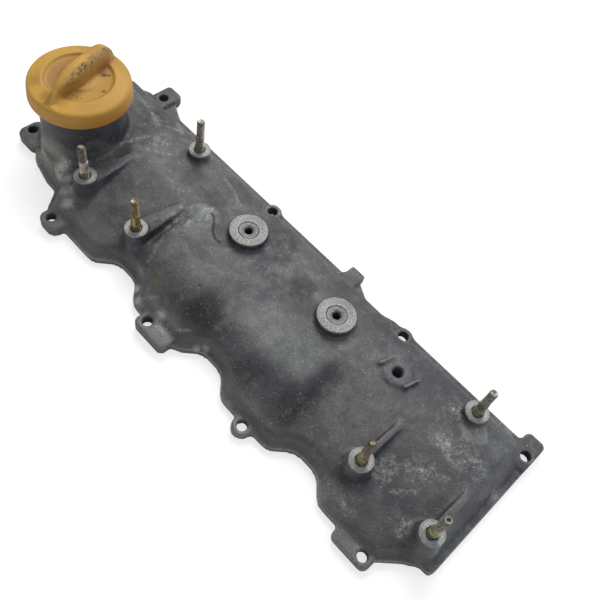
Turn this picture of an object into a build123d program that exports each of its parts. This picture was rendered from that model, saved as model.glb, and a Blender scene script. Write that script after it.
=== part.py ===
"""Die-cast valve cover of a four-cylinder engine, with its screw-in oil filler cap.

X runs along the crankshaft, from the filler end (-X) to the plain end (+X). Y runs across the head,
from the scalloped near side (-Y) to the straight far side (+Y). Z = 0 is the gasket face.
All sizes are in millimetres.
"""

import os
from math import cos, radians, sin, tan

from build123d import *

os.makedirs("parts", exist_ok=True)

# ---- the casting: outline and flange ---------------------------------------------------------
CYLINDER_PITCH = 88.0
SCALLOP_X = 24.9  # middle scallop of the near side, the others stand one pitch apart
SCALLOP_HALF_TOP = 9.5
SCALLOP_HALF_BASE = 22.4
LEFT_X = -208.7
RIGHT_X = 208.7
FAR_Y = 62.0
NEAR_Y = -67.8
SCALLOP_TOP_Y = -55.0
SCALLOP_ROUND = 14.0
TIGHT_ROUND = 8.0
END_CORNER_Y = -48.0
NEAR_CUT = ((LEFT_X, -24.0), (-181.0, -47.4))  # the near corner of the filler end, cut off at a slant
END_SCALLOP = ((-162.0, -51.8), (-148.5, -52.6), (-137.0, NEAR_Y))  # the shallow half scallop beside it
FAR_CUT = ((-187.2, FAR_Y), (-199.7, 53.5), (LEFT_X, 36.0))
DIP_X = (48.8, 56.8, 70.8, 82.8)
DIP_DEPTH = 3.6
FLANGE_THICK = 5.6
RIM = 4.3  # flange left showing outside the body wall
FOOT_RIM = 2.2  # flange left outside the sloping foot of that wall
FOOT_RISE = 4.0
FOOT_SLOPE = 40.0
WALL = 3.2
FAR_LAND = 9.0  # thick foot of the far wall, between the bolts and the seal groove
CAVITY_CORNER = 18.0

# ---- the casting: roof ---------------------------------------------------------------------
CREST_Z = 25.4
CREST_NEAR_Y = 4.9
CREST_FAR_Y = 35.0
SHOULDER_Y = 51.0
SHOULDER_Z = 18.1
FAR_FOOT_Y = 54.4
NEAR_SLOPE = 0.2
CHAMBER_NEAR_Y = -34.0  # near edge of the flat top over the breather chamber
CHAMBER_SLOPE = 0.546
CHAMBER_LEFT = -64.0
CHAMBER_RIGHT = 82.8
CHAMBER_TURN = 7.0  # its left edge leans away from the near side, in degrees
CHAMBER_ROUND = 14.0
CHAMBER_RISE = 0.6  # of its near shoulder over the crest
END_TOP_X = 192.2
END_FOOT_X = 204.3
DRAFT = 6.0
SIDE_DRAFT = 34.0
SHOULDER_ROUND = 6.0
CREST_ROUND = 40.0

# ---- filler neck and cap ---------------------------------------------------------------------
NECK_X = -172.0
NECK_Y = -8.3
NECK_TOP_Z = 59.0
NECK_TOP_R = 29.8
NECK_FOOT_R = 33.5
NECK_WAIST_Z = 30.0
NECK_FACE_WIDTH = 6.8  # the ring the cap seals on
NECK_BORE_R = NECK_TOP_R - NECK_FACE_WIDTH
NECK_COLLAR_Z = 44.5
CAP_TOP_Z = 66.0  # the rim of the top face, which rises inwards from here
CAP_SKIRT_Z = 55.0
CAP_SKIRT_WALL = 3.0
SKIRT_CLEARANCE = 2.9
CAP_R = NECK_TOP_R + SKIRT_CLEARANCE + CAP_SKIRT_WALL
CAP_SKIRT_DRAFT = 1.1
CAP_EDGE_ROUND = 3.0
CAP_DOME = 2.6  # rise of the top face from the rim to the edge of the ring-shaped recess
CAP_RECESS_R = (12.5, 23.8)
CAP_RECESS_DEPTH = 2.0
CAP_HEADING = 106.0  # the way the grip bar points, degrees from +X
GRIP_TOP_Z = 79.5
GRIP_END_DROP = 2.5
GRIP_WIDTH = 13.5
GRIP_REACH = (-32.0, 32.5)  # ends of the grip bar, along its heading
THREAD_DEPTH = 1.3  # left clear between the plug and the bore for the screw thread
PLUG_R = NECK_BORE_R - THREAD_DEPTH - 0.4
PLUG_WALL = 2.6
PLUG_BOTTOM_Z = 41.5
SEAL_THICK = 3.0
SEAL_CLEARANCE = 0.4

# ---- studs, bosses and bolt lugs -----------------------------------------------------------------
BOSS_Z = 31.4  # all machined seats lie in one plane
NEAR_STUD_Y = -39.0
FAR_STUD_Y = 38.4
FILLER_TRIO = ((-127.8, NEAR_STUD_Y), (-72.3, NEAR_STUD_Y), (-100.3, FAR_STUD_Y))
PLAIN_TRIO = ((136.4, NEAR_STUD_Y), (191.9, NEAR_STUD_Y), (163.2, FAR_STUD_Y))
NEAR_STUDS = FILLER_TRIO[:2] + PLAIN_TRIO[:2]
FAR_STUDS = FILLER_TRIO[2:] + PLAIN_TRIO[2:]
STUD_BOSS_R = 7.7
STUD_BOSS_FOOT_R = 11.4
STUD_BOSS_FOOT_Z = 6.0
STUD_HOLE_DEPTH = 14.0
STUD_THREAD_R = 4.0
STUD_SHANK_R = 3.5
STUD_TIP_R = 3.0
STUD_COLLAR = 5.0
STUD_SHANK = 9.0
STUD_HEIGHT = 27.5
INNER_POST_R = 7.0
POST_CLEARANCE = 0.3
ROUND_BOSSES = ((-25.5, 18.6), (59.4, 18.6))
ROUND_BOSS_R = 13.4
ROUND_HOLE_R = 2.75
ROUND_SINK_R = 3.6
ROUND_SPOT_R = 7.9
ROUND_SPOT_DEPTH = 0.5
ROUND_HOLE_DEPTH = 13.0
BOLT_R = 3.5
LUG_R = 7.0
LUG_THICK = 8.6
THIN_LUG_THICK = 7.0
SPOT_R = 5.7
SPOT_RISE = 0.5
POCKET_R = 9.2  # room for a bolt head and socket in the far wall
PAD_X = 112.0
PAD_Y = 22.2
PAD_R = 9.7
PAD_RISE = 1.2
PAD_HOLE_R = 3.4
PAD_HOLE_DEPTH = 10.5
FENCE_X = (-10.6, 11.2)
FENCE_LENGTH = 12.5
FENCE_WIDTH = 2.2
FENCE_RISE = 3.0

# ---- seal groove, baffle and screws ------------------------------------------------------------
GROOVE_INSET = 3.7
GROOVE_WIDTH = 2.6
GROOVE_DEPTH = 3.2
GASKET_CLEARANCE = 0.15
BAFFLE_Z = 12.0
BAFFLE_THICK = 1.2
BAFFLE_X = (-49.0, 75.0)
BAFFLE_Y = (-24.0, 40.0)
BAFFLE_RIM = 5.0
BAFFLE_INSET = 7.0
SLOT_COUNT = 3
SLOT_ROWS = 2
SLOT_PITCH = 36.0
SLOT_ROW_PITCH = 26.0
SLOT_LENGTH = 20.0
SLOT_WIDTH = 6.0
SCREW_R = 2.0
SCREW_HEAD_R = 4.0
SCREW_HEAD = 2.6
SCREW_LENGTH = 9.0
SCREW_POST_R = 4.6
SCREW_CLEARANCE = 0.25
THREAD_FIT = 0.05  # radial play of a screw or stud in its tapped hole
INNER_POST_Z = BAFFLE_Z + BAFFLE_THICK + POST_CLEARANCE

STANDING = (Align.CENTER, Align.CENTER, Align.MIN)
baffle_length = BAFFLE_X[1] - BAFFLE_X[0]
baffle_width = BAFFLE_Y[1] - BAFFLE_Y[0]
baffle_mid_x = (BAFFLE_X[0] + BAFFLE_X[1]) / 2
baffle_mid_y = (BAFFLE_Y[0] + BAFFLE_Y[1]) / 2
screw_places = []
for screw_x in (BAFFLE_X[0] + BAFFLE_INSET, baffle_mid_x, BAFFLE_X[1] - BAFFLE_INSET):
    for screw_y in (BAFFLE_Y[0] + BAFFLE_INSET, BAFFLE_Y[1] - BAFFLE_INSET):
        screw_places.append((screw_x, screw_y))


def outline_points():
    """Corners of the gasket face, anticlockwise, each with its corner radius."""
    points = [(x, y, SCALLOP_ROUND) for x, y in NEAR_CUT]
    points += [(x, y, TIGHT_ROUND) for x, y in END_SCALLOP]
    for index in range(-1, 2):
        middle = SCALLOP_X + index * CYLINDER_PITCH
        points.append((middle - SCALLOP_HALF_BASE, NEAR_Y, SCALLOP_ROUND))
        points.append((middle - SCALLOP_HALF_TOP, SCALLOP_TOP_Y, SCALLOP_ROUND))
        points.append((middle + SCALLOP_HALF_TOP, SCALLOP_TOP_Y, SCALLOP_ROUND))
        points.append((middle + SCALLOP_HALF_BASE, NEAR_Y, SCALLOP_ROUND))
    last = SCALLOP_X + 2 * CYLINDER_PITCH
    points.append((last - SCALLOP_HALF_BASE, NEAR_Y, SCALLOP_ROUND))
    points.append((last - SCALLOP_HALF_TOP, SCALLOP_TOP_Y, TIGHT_ROUND))
    points.append((last, END_CORNER_Y, TIGHT_ROUND / 2))
    points.append((RIGHT_X, END_CORNER_Y, TIGHT_ROUND / 2))
    points.append((RIGHT_X, FAR_Y, TIGHT_ROUND / 2))
    for x, drop in zip(reversed(DIP_X), (0, DIP_DEPTH, DIP_DEPTH, 0)):
        points.append((x, FAR_Y - drop, SCALLOP_ROUND))
    points += [(x, y, SCALLOP_ROUND) for x, y in FAR_CUT]
    return points


def outline_face(inset):
    """The gasket face outline, drawn in by inset."""
    points = outline_points()
    with BuildSketch() as face:
        with BuildLine():
            FilletPolyline([point[:2] for point in points], radius=[point[2] for point in points], close=True)
        make_face()
        if inset:
            offset(amount=-inset)
    return face.sketch


def inside_face(inset, corner):
    """The outline drawn in by inset, held clear of the bolts of the far side and of the plain end."""
    far_y = FAR_FOOT_Y - FAR_LAND + (RIM + WALL - inset)
    right_x = END_FOOT_X - WALL + (RIM + WALL - inset)
    with BuildSketch() as face:
        add(outline_face(inset))
        with BuildSketch(mode=Mode.PRIVATE) as window:
            with Locations(((LEFT_X + right_x) / 2, (2 * NEAR_Y + far_y) / 2)):
                Rectangle(right_x - LEFT_X, far_y - 2 * NEAR_Y)
            fillet(window.vertices().sort_by(Axis.X)[-2:], corner + RIM + WALL - inset)
        add(window.sketch, mode=Mode.INTERSECT)
    return face.sketch


def roof_prism(points, rounds, left, right):
    """A bar along X with the given (y, z) section."""
    with BuildPart() as bar:
        with BuildSketch(Plane.YZ.offset(left)):
            with BuildLine():
                FilletPolyline(points, radius=rounds, close=True)
            make_face()
        extrude(amount=right - left)
    return bar.part


def shoulder(edge_x, turn, side, top):
    """A block that ends in a rounded slope across the cover: side 1 at its +X end, -1 at its -X end."""
    run = top * tan(radians(SIDE_DRAFT))
    far_end = -side * (RIGHT_X - LEFT_X)
    with BuildPart() as block:
        with BuildSketch(Plane.XZ.offset(-2 * FAR_Y)):
            with BuildLine():
                FilletPolyline(
                    (far_end, 0),
                    (side * run, 0),
                    (0, top),
                    (far_end, top),
                    radius=[0, 0, CHAMBER_ROUND, 0],
                    close=True,
                )
            make_face()
        extrude(amount=4 * FAR_Y)
    return Location((edge_x, 0, 0), (0, 0, turn)) * block.part


def roof_form(drop):
    """Everything under the roof: the gently sloping main roof and the higher chamber, lowered by drop."""
    top = CREST_Z - drop
    near = 1.3 * NEAR_Y
    far = [(CREST_FAR_Y, top), (SHOULDER_Y - drop, SHOULDER_Z - drop), (FAR_FOOT_Y - drop, FLANGE_THICK)]
    far.append((FAR_FOOT_Y - drop, 0))
    low = top - NEAR_SLOPE * (CREST_NEAR_Y - near)
    main = [(near, 0), (near, low), (CREST_NEAR_Y, top)] + far
    chamber_foot = CHAMBER_NEAR_Y - top / CHAMBER_SLOPE
    high = top + CHAMBER_RISE
    chamber = [(chamber_foot, 0), (CHAMBER_NEAR_Y, high), (CREST_FAR_Y, top - CHAMBER_RISE), (CREST_FAR_Y, 0)]
    main_rounds = [0, 0, CREST_ROUND, CREST_ROUND, SHOULDER_ROUND, 0, 0]
    main_bar = roof_prism(main, main_rounds, 1.2 * LEFT_X, 1.2 * RIGHT_X)
    chamber_bar = roof_prism(chamber, [0, CREST_ROUND, 0, 0], 1.2 * LEFT_X, 1.2 * RIGHT_X)
    with BuildPart() as chamber_form:
        add(chamber_bar)
        add(shoulder(CHAMBER_RIGHT - drop, 0, 1, high), mode=Mode.INTERSECT)
        add(shoulder(CHAMBER_LEFT + drop, CHAMBER_TURN, -1, high), mode=Mode.INTERSECT)
    with BuildPart() as end_form:
        with BuildSketch(Plane.XZ.offset(-1.5 * FAR_Y)):
            with BuildLine():
                slope = (END_FOOT_X - END_TOP_X) / (CREST_Z - FLANGE_THICK)
                Polyline(
                    (1.1 * LEFT_X, 0),
                    (END_FOOT_X - drop + slope * FLANGE_THICK, 0),
                    (END_TOP_X - drop - slope * WALL, CREST_Z + WALL),
                    (1.1 * LEFT_X, CREST_Z + WALL),
                    close=True,
                )
            make_face()
        extrude(amount=4 * FAR_Y)
    with BuildPart() as roof:
        add(main_bar)
        add(chamber_form.part)
        add(end_form.part, mode=Mode.INTERSECT)
    return roof.part


outer_roof = roof_form(0)
inner_roof = roof_form(WALL)

with BuildPart() as outer_form:
    with BuildSketch():
        add(outline_face(RIM))
    extrude(amount=CREST_Z + WALL, taper=DRAFT)
    with BuildSketch(Plane.XY.offset(FLANGE_THICK)):
        add(outline_face(FOOT_RIM))
    extrude(amount=FOOT_RISE, taper=FOOT_SLOPE)
    add(outer_roof, mode=Mode.INTERSECT)

with BuildPart() as inner_form:
    with BuildSketch():
        add(inside_face(RIM + WALL, CAVITY_CORNER))
    extrude(amount=CREST_Z, taper=DRAFT)
    add(inner_roof, mode=Mode.INTERSECT)


def upright(x, y):
    """The XZ plane through a vertical axis at (x, y)."""
    return Plane(origin=(x, y, 0), x_dir=(1, 0, 0), z_dir=(0, -1, 0))


def turned(x, y, profile, rounds=None):
    """A solid of revolution about the vertical axis at (x, y), from (radius, z) points."""
    with BuildPart() as body:
        with BuildSketch(upright(x, y)):
            with BuildLine():
                FilletPolyline(profile, radius=rounds or 0, close=True)
            make_face()
        revolve(axis=Axis((x, y, 0), (0, 0, 1)))
    return body.part


# ---- bolt lugs: (x, y) of the hole, thickness, and the corners of the block that carries it -----
NEAR_BOLT_Y = -69.3
FAR_BOLT_Y = 56.2
FAR_TAB = (202.9, 53.6)
CORNER_TAB = (-173.3, 63.6)
ROUND_LUGS = (
    (-38.3, FAR_BOLT_Y, LUG_THICK, -10.0),
    (93.6, FAR_BOLT_Y, THIN_LUG_THICK, -10.0),
    (70.0, NEAR_BOLT_Y, FLANGE_THICK, 10.0),
)
BLOCK_LUGS = (
    (-202.6, -33.9, LUG_THICK, (-208.5, -44.5), (-187.0, -24.0), 6.0),
    (-128.3, NEAR_BOLT_Y, LUG_THICK, (-135.4, -76.4), (-116.8, -55.0), 6.5),
    (-22.6, NEAR_BOLT_Y, LUG_THICK, (-29.6, -76.4), (-0.6, -58.0), 5.0),
    (174.0, NEAR_BOLT_Y, FLANGE_THICK, (152.5, -75.6), (181.0, -59.0), 4.5),
    (FAR_TAB[0], FAR_TAB[1], THIN_LUG_THICK, (194.0, 44.0), (RIGHT_X, 69.4), 3.5),
    (CORNER_TAB[0], CORNER_TAB[1], LUG_THICK, (-181.0, 50.0), (-165.6, 76.4), 3.0),
)
BLANK_LUG = (THIN_LUG_THICK, (31.6, 50.0), (44.2, 70.8), 2.0)
bolts = [lug[:2] for lug in ROUND_LUGS + BLOCK_LUGS]

with BuildPart() as lugs:
    for x, y, thickness, reach in ROUND_LUGS:
        with BuildSketch():
            with Locations((x, y)):
                Circle(LUG_R)
            with Locations((x, y + reach)):
                Rectangle(2.6 * LUG_R, LUG_R)
            make_hull()
        extrude(amount=thickness)
    for lug in BLOCK_LUGS + ((0, 0) + BLANK_LUG,):
        thickness, low, high, corner = lug[2:]
        with BuildSketch():
            with Locations(((low[0] + high[0]) / 2, (low[1] + high[1]) / 2)):
                RectangleRounded(high[0] - low[0], high[1] - low[1], corner)
        extrude(amount=thickness)
    with Locations([(x, y, thickness) for x, y, thickness, *_ in ROUND_LUGS + BLOCK_LUGS]):
        Cylinder(SPOT_R, SPOT_RISE, align=STANDING)

with BuildPart() as corner_webs:
    with BuildSketch():
        with BuildLine():
            Polyline((-167.2, 70.0), (-167.2, 58.0), (-148.2, 58.0), (-150.2, 61.9), (-162.9, 68.0), close=True)
        make_face()
        with BuildLine():
            Polyline((42.8, 66.0), (42.8, 58.0), (56.8, 58.0), (52.8, 60.6), (46.8, 63.6), close=True)
        make_face()
    extrude(amount=FLANGE_THICK)

neck_outside = turned(
    NECK_X,
    NECK_Y,
    [
        (0, 0),
        (NECK_FOOT_R + 1.0, 0),
        (NECK_FOOT_R, FLANGE_THICK),
        (NECK_TOP_R + 0.4, NECK_WAIST_Z),
        (NECK_TOP_R, NECK_TOP_Z),
        (0, NECK_TOP_Z),
    ],
    [0, 0, 0, 40.0, 1.0, 0],
)
neck_inside = turned(
    NECK_X,
    NECK_Y,
    [
        (0, -1.0),
        (NECK_FOOT_R - WALL - 1.6, -1.0),
        (NECK_TOP_R - WALL, NECK_WAIST_Z + WALL),
        (NECK_TOP_R - WALL, NECK_COLLAR_Z - 4.0),
        (NECK_BORE_R, NECK_COLLAR_Z),
        (NECK_BORE_R, NECK_TOP_Z + 1.0),
        (0, NECK_TOP_Z + 1.0),
    ],
)

# Ribs run from the near studs up to the crest: heavy tapering gussets at the filler end, thin webs at
# the plain end.
GUSSET_REACH = 46.0
GUSSET_WIDTH = (15.0, 3.0)
WEB_REACH = 42.0
WEB_WIDTH = (4.4, 2.4)
RIB_TOP_Z = BOSS_Z - 1.6
RIB_END_Z = CREST_Z - 0.6
RIB_FOOT_Z = 8.0
rib_list = [(stud, GUSSET_REACH, GUSSET_WIDTH) for stud in NEAR_STUDS[:2]]
rib_list += [(stud, WEB_REACH, WEB_WIDTH) for stud in NEAR_STUDS[2:]]
ribs = []
for (x, y), reach, width in rib_list:
    with BuildPart() as rib:
        for along, wide, high in ((0, width[0], RIB_TOP_Z), (reach, width[1], RIB_END_Z)):
            with BuildSketch(Plane(origin=(x, y + along, RIB_FOOT_Z), x_dir=(1, 0, 0), z_dir=(0, -1, 0))):
                Trapezoid(wide + 5.0, high - RIB_FOOT_Z, 84, align=(Align.CENTER, Align.MIN))
        loft()
    ribs.append(rib.part)

with BuildPart() as valve_cover:
    with BuildSketch():
        add(outline_face(0))
    extrude(amount=FLANGE_THICK)
    add(outer_form.part)
    # room for the bolt heads in the far wall and at the plain end
    with BuildSketch(Plane.XY.offset(FLANGE_THICK)):
        with Locations([bolt for bolt in bolts if bolt[1] > 0 and bolt[1] < FAR_Y]):
            Circle(POCKET_R)
    extrude(amount=CREST_Z, taper=-DRAFT, mode=Mode.SUBTRACT)
    add(lugs.part)
    add(corner_webs.part)
    add(neck_outside)
    for rib in ribs:
        add(rib)
    with Locations([(x, y, STUD_BOSS_FOOT_Z) for x, y in NEAR_STUDS + FAR_STUDS]):
        Cone(STUD_BOSS_FOOT_R, STUD_BOSS_R, BOSS_Z - STUD_BOSS_FOOT_Z, align=STANDING)
    with Locations([(x, y, INNER_POST_Z) for x, y in ROUND_BOSSES]):
        Cylinder(ROUND_BOSS_R, BOSS_Z - INNER_POST_Z, align=STANDING)
    with Locations((PAD_X, PAD_Y, INNER_POST_Z)):
        Cylinder(PAD_R, CREST_Z + PAD_RISE - INNER_POST_Z, align=STANDING)
    for offset_x in FENCE_X:
        with BuildSketch(Plane(origin=(PAD_X + offset_x, PAD_Y, CREST_Z - 1.0), z_dir=(0, 0, 1), x_dir=(0.97, -0.25, 0))):
            RectangleRounded(FENCE_WIDTH, FENCE_LENGTH, FENCE_WIDTH * 0.45)
        extrude(amount=FENCE_RISE + 1.0)
    add(inner_form.part, mode=Mode.SUBTRACT)
    add(neck_inside, mode=Mode.SUBTRACT)
    # posts under the roof, for the tapped holes and for the baffle's screws
    with Locations([(x, y, INNER_POST_Z) for x, y in FAR_STUDS + ROUND_BOSSES + ((PAD_X, PAD_Y),)]):
        Cylinder(INNER_POST_R, CREST_Z - INNER_POST_Z - 1.0, align=STANDING)
    with Locations([(x, y, BAFFLE_Z + BAFFLE_THICK) for x, y in screw_places]):
        Cylinder(SCREW_POST_R, CREST_Z - BAFFLE_Z - BAFFLE_THICK - 1.0, align=STANDING)
    # drilled and tapped holes
    with Locations([(x, y, BOSS_Z) for x, y in NEAR_STUDS + FAR_STUDS]):
        Hole(STUD_THREAD_R + THREAD_FIT, STUD_HOLE_DEPTH)
    with Locations([(x, y, BOSS_Z) for x, y in ROUND_BOSSES]):
        Hole(ROUND_SPOT_R, ROUND_SPOT_DEPTH)
    with Locations([(x, y, BOSS_Z - ROUND_SPOT_DEPTH) for x, y in ROUND_BOSSES]):
        CounterSinkHole(ROUND_HOLE_R, ROUND_SINK_R, ROUND_HOLE_DEPTH)
    with Locations((PAD_X, PAD_Y, CREST_Z + PAD_RISE)):
        CounterSinkHole(PAD_HOLE_R, PAD_HOLE_R + 1.0, PAD_HOLE_DEPTH)
    with Locations([(x, y, CREST_Z) for x, y in bolts]):
        Hole(BOLT_R, 2 * CREST_Z)
    with Locations([Location((x, y, BAFFLE_Z + BAFFLE_THICK), (180, 0, 0)) for x, y in screw_places]):
        Hole(SCREW_R + THREAD_FIT, SCREW_LENGTH)
    # seal groove in the gasket face
    with BuildSketch():
        add(inside_face(GROOVE_INSET, CAVITY_CORNER))
        add(inside_face(GROOVE_INSET + GROOVE_WIDTH, CAVITY_CORNER), mode=Mode.SUBTRACT)
    extrude(amount=GROOVE_DEPTH, mode=Mode.SUBTRACT)

# Moulded rubber cord seal, lying just inside its groove.
with BuildPart() as cover_gasket:
    with BuildSketch(Plane.XY.offset(GASKET_CLEARANCE)):
        add(inside_face(GROOVE_INSET + GASKET_CLEARANCE, CAVITY_CORNER))
        add(inside_face(GROOVE_INSET + GROOVE_WIDTH - GASKET_CLEARANCE, CAVITY_CORNER), mode=Mode.SUBTRACT)
    extrude(amount=GROOVE_DEPTH - 2 * GASKET_CLEARANCE)

# Pressed-steel baffle that closes the breather chamber from below: a flat plate with its long edges
# folded up and three rows of oil drain slots.
with BuildPart() as oil_baffle:
    with BuildSketch(Plane.XY.offset(BAFFLE_Z)):
        with Locations((baffle_mid_x, baffle_mid_y)):
            RectangleRounded(baffle_length, baffle_width, 6.0)
    extrude(amount=BAFFLE_THICK)
    for side in (-1, 1):
        with BuildSketch(Plane.XY.offset(BAFFLE_Z)):
            with Locations((baffle_mid_x, baffle_mid_y + side * (baffle_width - BAFFLE_THICK) / 2)):
                Rectangle(baffle_length - 2 * SCREW_POST_R - 8.0, BAFFLE_THICK)
        extrude(amount=BAFFLE_RIM)
    with BuildSketch(Plane.XY.offset(BAFFLE_Z)):
        with Locations((baffle_mid_x, baffle_mid_y)):
            with GridLocations(SLOT_PITCH, SLOT_ROW_PITCH, SLOT_COUNT, SLOT_ROWS):
                SlotOverall(SLOT_LENGTH, SLOT_WIDTH)
    extrude(amount=BAFFLE_THICK, mode=Mode.SUBTRACT)
    with Locations([(x, y, BAFFLE_Z + BAFFLE_THICK) for x, y in screw_places]):
        Hole(SCREW_R + SCREW_CLEARANCE, BAFFLE_THICK)

with BuildPart() as baffle_screws:
    for x, y in screw_places:
        shank_top = BAFFLE_Z + BAFFLE_THICK + SCREW_LENGTH - 1.0
        profile = [
            (0, BAFFLE_Z - SCREW_HEAD),
            (SCREW_HEAD_R, BAFFLE_Z - SCREW_HEAD),
            (SCREW_HEAD_R, BAFFLE_Z),
            (SCREW_R, BAFFLE_Z),
            (SCREW_R, shank_top),
            (0, shank_top),
        ]
        add(turned(x, y, profile, [0, 1.2, 0, 0, 0, 0]))

# Double-ended studs: a large thread in the casting, a plain shank, a smaller thread above.
stud_groups = []
for name, places in (("filler_end_studs", FILLER_TRIO), ("plain_end_studs", PLAIN_TRIO)):
    with BuildPart() as studs:
        for x, y in places:
            foot = BOSS_Z - STUD_HOLE_DEPTH
            collar = BOSS_Z + STUD_COLLAR
            shank = collar + STUD_SHANK
            tip = BOSS_Z + STUD_HEIGHT
            profile = [
                (0, foot),
                (STUD_THREAD_R - 0.6, foot),
                (STUD_THREAD_R, foot + 0.6),
                (STUD_THREAD_R, collar - 0.4),
                (STUD_SHANK_R, collar),
                (STUD_SHANK_R, shank),
                (STUD_TIP_R, shank + 0.8),
                (STUD_TIP_R, tip - 0.8),
                (STUD_TIP_R - 0.8, tip),
                (0, tip),
            ]
            add(turned(x, y, profile))
    studs.part.label = name
    stud_groups.append(studs.part)

# Moulded screw cap: a dished disc with a deep skirt, a hollow threaded plug and a rounded grip bar.
disc_z = NECK_TOP_Z + SEAL_THICK
dome_z = CAP_TOP_Z + CAP_DOME
cap_profile = [
    (0, disc_z),
    (PLUG_R - PLUG_WALL, disc_z),
    (PLUG_R - PLUG_WALL, PLUG_BOTTOM_Z),
    (PLUG_R, PLUG_BOTTOM_Z),
    (PLUG_R, disc_z),
    (CAP_R - CAP_SKIRT_WALL, disc_z),
    (CAP_R - CAP_SKIRT_WALL, CAP_SKIRT_Z),
    (CAP_R, CAP_SKIRT_Z),
    (CAP_R - CAP_SKIRT_DRAFT, CAP_TOP_Z),
    (CAP_RECESS_R[1], dome_z),
    (CAP_RECESS_R[1] - 1.2, dome_z - CAP_RECESS_DEPTH),
    (CAP_RECESS_R[0] + 1.2, dome_z - CAP_RECESS_DEPTH),
    (CAP_RECESS_R[0], dome_z - 0.6),
    (0, dome_z - 0.6),
]
cap_rounds = [0, 1.0, 0.8, 0.8, 0, 0, 0.5, 0.8, CAP_EDGE_ROUND, 1.0, 0.8, 0.8, 0.8, 0]
grip_plane = Plane(
    origin=(NECK_X, NECK_Y, 0),
    x_dir=(cos(radians(CAP_HEADING)), sin(radians(CAP_HEADING)), 0),
    z_dir=(sin(radians(CAP_HEADING)), -cos(radians(CAP_HEADING)), 0),
)
grip_section_plane = Plane(
    origin=(NECK_X, NECK_Y, 0),
    x_dir=grip_plane.z_dir,
    z_dir=-grip_plane.x_dir,
)
with BuildPart() as grip:
    with BuildSketch(grip_plane):
        with BuildLine():
            FilletPolyline(
                (GRIP_REACH[0], CAP_TOP_Z - 3.0),
                (GRIP_REACH[1], CAP_TOP_Z - 3.0),
                (GRIP_REACH[1] - 1.5, GRIP_TOP_Z - GRIP_END_DROP),
                (0, GRIP_TOP_Z),
                (GRIP_REACH[0] + 9.0, GRIP_TOP_Z - 1.6 * GRIP_END_DROP),
                (GRIP_REACH[0], CAP_TOP_Z + 1.0),
                radius=[0, 0, 7.0, 60.0, 10.0, 0],
                close=True,
            )
        make_face()
    extrude(amount=GRIP_WIDTH, both=True)
    with BuildSketch(grip_section_plane):
        with BuildLine():
            FilletPolyline(
                (-GRIP_WIDTH / 2 - 1.5, CAP_TOP_Z - 4.0),
                (GRIP_WIDTH / 2 + 1.5, CAP_TOP_Z - 4.0),
                (GRIP_WIDTH / 2 - 0.8, GRIP_TOP_Z),
                (-GRIP_WIDTH / 2 + 0.8, GRIP_TOP_Z),
                radius=[0, 0, GRIP_WIDTH * 0.38, GRIP_WIDTH * 0.38],
                close=True,
            )
        make_face()
    extrude(amount=1.1 * CAP_R, both=True, mode=Mode.INTERSECT)

with BuildPart() as filler_cap:
    add(turned(NECK_X, NECK_Y, cap_profile, cap_rounds))
    add(grip.part)

with BuildPart() as cap_seal:
    with BuildSketch(Plane.XY.offset(NECK_TOP_Z)):
        with Locations((NECK_X, NECK_Y)):
            Circle(NECK_TOP_R - SEAL_CLEARANCE)
            Circle(PLUG_R + 3 * SEAL_CLEARANCE, mode=Mode.SUBTRACT)
    extrude(amount=SEAL_THICK)

valve_cover.part.label = "valve_cover"
cover_gasket.part.label = "cover_gasket"
oil_baffle.part.label = "oil_baffle"
baffle_screws.part.label = "baffle_screws"
filler_cap.part.label = "filler_cap"
cap_seal.part.label = "cap_seal"
pieces = [valve_cover, cover_gasket, oil_baffle, baffle_screws, filler_cap, cap_seal]
for shape in [piece.part for piece in pieces] + stud_groups:
    export_step(shape, f"parts/{shape.label}.step")
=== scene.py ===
"""Engine valve cover with its oil filler cap: looks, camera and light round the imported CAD."""

import math

import bmesh
import bpy
import numpy as np
from mathutils import Matrix, Vector
from mathutils.bvhtree import BVHTree


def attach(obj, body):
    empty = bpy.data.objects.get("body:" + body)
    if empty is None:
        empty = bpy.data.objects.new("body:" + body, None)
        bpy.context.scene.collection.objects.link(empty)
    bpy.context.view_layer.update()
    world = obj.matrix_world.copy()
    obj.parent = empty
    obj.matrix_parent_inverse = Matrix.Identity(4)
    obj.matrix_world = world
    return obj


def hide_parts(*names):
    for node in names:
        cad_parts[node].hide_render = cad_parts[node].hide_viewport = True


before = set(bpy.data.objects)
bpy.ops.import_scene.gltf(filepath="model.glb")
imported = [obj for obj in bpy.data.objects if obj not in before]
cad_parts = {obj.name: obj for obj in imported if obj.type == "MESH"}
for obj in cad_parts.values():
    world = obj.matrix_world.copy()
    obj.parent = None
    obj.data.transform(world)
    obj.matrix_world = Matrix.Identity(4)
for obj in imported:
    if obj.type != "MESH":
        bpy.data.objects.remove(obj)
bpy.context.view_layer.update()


scene = bpy.context.scene
MM = 0.001

# ---- Valve cover casting ------------------------------------------------------------------------
# One die-cast piece of aluminium-silicon alloy: flange, lugs, roof, breather chamber, neck, bosses
# and ribs. Left as cast and blasted, it has gone dark and blotchy with heat, oil and white oxide.

# Places of the CAD in plan, and the height of the seats over the gasket face, in millimetres.
NEAR_STUD_Y, FAR_STUD_Y, SEAT_Z = -39.0, 38.4, 31.4
FILLER_STUDS = [(-127.8, NEAR_STUD_Y), (-72.3, NEAR_STUD_Y), (-100.3, FAR_STUD_Y)]
PLAIN_STUDS = [(136.4, NEAR_STUD_Y), (191.9, NEAR_STUD_Y), (163.2, FAR_STUD_Y)]
ROUND_SEATS = [(-25.5, 18.6), (59.4, 18.6)]
ROOF_PAD = (112.0, 22.2)
NECK = (-172.0, -8.3)

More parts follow.
